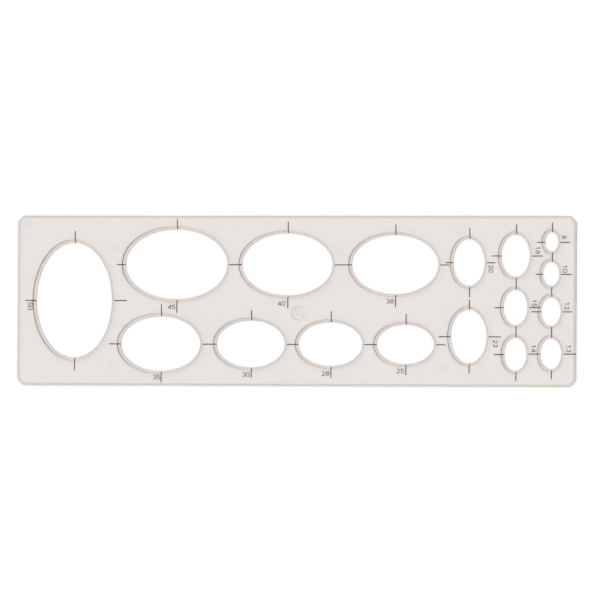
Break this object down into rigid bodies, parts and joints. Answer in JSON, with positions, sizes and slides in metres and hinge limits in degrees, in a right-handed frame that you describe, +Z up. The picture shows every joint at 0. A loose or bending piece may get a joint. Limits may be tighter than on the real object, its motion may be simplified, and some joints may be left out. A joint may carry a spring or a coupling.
{
  "type": "ellipse template",
  "caption": "Clear flat drawing template for tracing ellipses: graded elliptical openings with stepped rims, printed centre ticks and size numbers.",
  "frame": {"origin": "middle of the plate's underside", "axes": "+X along the plate towards the small openings, +Y to the back edge as the numbers read, +Z up out of the top face"},
  "size_m": [0.25, 0.075, 0.0025],
  "materials": {
    "clear_plastic": "clear moulded plastic, polished faces, faint warm grey cast",
    "ink": "printed dark grey ink"
  },
  "bodies": {
    "root": {"plate": "clear_plastic", "ticks_50": "ink", "ticks_45": "ink", "ticks_40": "ink", "ticks_38": "ink", "ticks_35": "ink", "ticks_30": "ink", "ticks_28": "ink", "ticks_25": "ink", "ticks_20": "ink", "ticks_23": "ink", "ticks_18": "ink", "ticks_15": "ink", "ticks_14": "ink", "ticks_8": "ink", "ticks_10": "ink", "ticks_12": "ink", "ticks_13": "ink", "number_50": "ink", "number_45": "ink", "number_40": "ink", "number_38": "ink", "number_35": "ink", "number_30": "ink", "number_28": "ink", "number_25": "ink", "number_20": "ink", "number_23": "ink", "number_18": "ink", "number_15": "ink", "number_14": "ink", "number_8": "ink", "number_10": "ink", "number_12": "ink", "number_13": "ink"}
  },
  "joints": []
}
